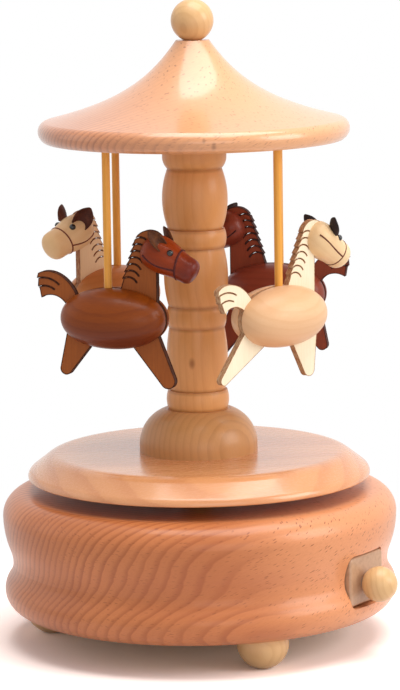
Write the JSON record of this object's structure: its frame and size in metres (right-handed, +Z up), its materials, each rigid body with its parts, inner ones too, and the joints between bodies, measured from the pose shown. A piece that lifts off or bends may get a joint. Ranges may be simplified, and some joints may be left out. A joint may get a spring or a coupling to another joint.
{
  "type": "carousel music box",
  "caption": "Turned wooden carousel music box: a spring movement in the base turns a platform, column and pagoda canopy, from which board-and-egg horses hang on rods.",
  "frame": {"origin": "on the table, under the middle of the turned base", "axes": "+Z up along the column; -Y towards the side seen in the picture, with the switch at its right"},
  "size_m": [0.115, 0.115, 0.1864],
  "materials": {
    "beech": "satin lacquer",
    "birch_plywood": "raw",
    "turned_birch": "satin lacquer",
    "column_wood": "satin lacquer",
    "rod_wood": "satin",
    "brown_board": "satin, burnt edges",
    "brown_body": "satin stain",
    "brown_head": "satin stain",
    "dark_wood": "satin stain",
    "cream_board": "satin, burnt edges",
    "pale_wood": "satin",
    "dark_leather": "matte",
    "bead_black": "gloss",
    "plate_tan": "satin",
    "screw_steel": "zinc plated",
    "rod_steel": "bright",
    "comb_steel": "ground",
    "spring_steel": "blued",
    "zinc_casting": "as cast",
    "movement_brass": "bright",
    "nylon_white": "moulded"
  },
  "bodies": {
    "base": {"base_housing": "beech", "bottom_cover": "birch_plywood", "cover_screws": "screw_steel", "foot_right": "turned_birch", "foot_left": "turned_birch", "foot_rear": "turned_birch", "switch_plate": "plate_tan", "movement_bedplate": "zinc_casting", "movement_screws": "screw_steel", "comb": "comb_steel", "comb_screws": "screw_steel", "spring_housing": "rod_steel", "mainspring": "spring_steel", "governor_frame": "zinc_casting", "governor_screw": "screw_steel"},
    "switch": {"switch_knob": "turned_birch", "switch_stem": "rod_steel", "stop_wire": "rod_steel"},
    "turntable": {"winding_arbor": "rod_steel", "great_wheel": "movement_brass", "drive_hub": "movement_brass", "hub_screws": "screw_steel", "platform": "beech", "column_foot": "turned_birch", "column": "column_wood", "column_dowel": "turned_birch", "canopy": "beech", "finial": "turned_birch", "hanging_rods": "rod_wood", "brown_horse_board": "brown_board", "brown_horse_left_side": "brown_body", "brown_horse_right_side": "brown_body", "brown_horse_head": "brown_head", "brown_horse_ears": "dark_leather", "brown_horse_eyes": "bead_black", "cream_horse_board": "cream_board", "cream_horse_left_side": "pale_wood", "cream_horse_right_side": "pale_wood", "cream_horse_head": "cream_board", "cream_horse_ears": "dark_leather", "cream_horse_eyes": "bead_black", "dark_horse_board": "dark_wood", "dark_horse_left_side": "dark_wood", "dark_horse_right_side": "dark_wood", "dark_horse_head": "dark_wood", "dark_horse_ears": "dark_leather", "dark_horse_eyes": "bead_black", "pale_horse_board": "cream_board", "pale_horse_left_side": "pale_wood", "pale_horse_right_side": "pale_wood", "pale_horse_head": "cream_board", "pale_horse_ears": "dark_leather", "pale_horse_eyes": "bead_black"},
    "cylinder": {"pinned_cylinder": "movement_brass", "cylinder_arbor": "movement_brass"},
    "governor_shaft": {"governor_wheel": "movement_brass"},
    "air_brake": {"governor_fan": "nylon_white"}
  },
  "joints": [
    {"name": "turntable_spin", "type": "hinge", "parent": "base", "child": "turntable", "pos_m": [0, 0, 0.0481], "axis": [0, 0, 1], "continuous": true},
    {"name": "switch_slide", "type": "slide", "parent": "base", "child": "switch", "axis": [0.829, -0.5592, 0], "range_m": [0, 0.003]},
    {"name": "cylinder_spin", "type": "hinge", "parent": "base", "child": "cylinder", "pos_m": [0.02342, -0.00522, 0.0308], "axis": [0.976, -0.2177, 0], "continuous": true},
    {"name": "governor_wheel_spin", "type": "hinge", "parent": "base", "child": "governor_shaft", "pos_m": [0.03122, -0.0116, 0.02296], "axis": [0.976, -0.2177, 0], "continuous": true},
    {"name": "air_brake_spin", "type": "hinge", "parent": "base", "child": "air_brake", "pos_m": [0.03075, -0.01785, 0.02296], "axis": [0, 0, 1], "continuous": true}
  ],
  "couplings": [
    {"joint": "cylinder_spin", "follows": "turntable_spin", "ratio": -4},
    {"joint": "governor_wheel_spin", "follows": "turntable_spin", "ratio": 16},
    {"joint": "air_brake_spin", "follows": "turntable_spin", "ratio": 320}
  ]
}
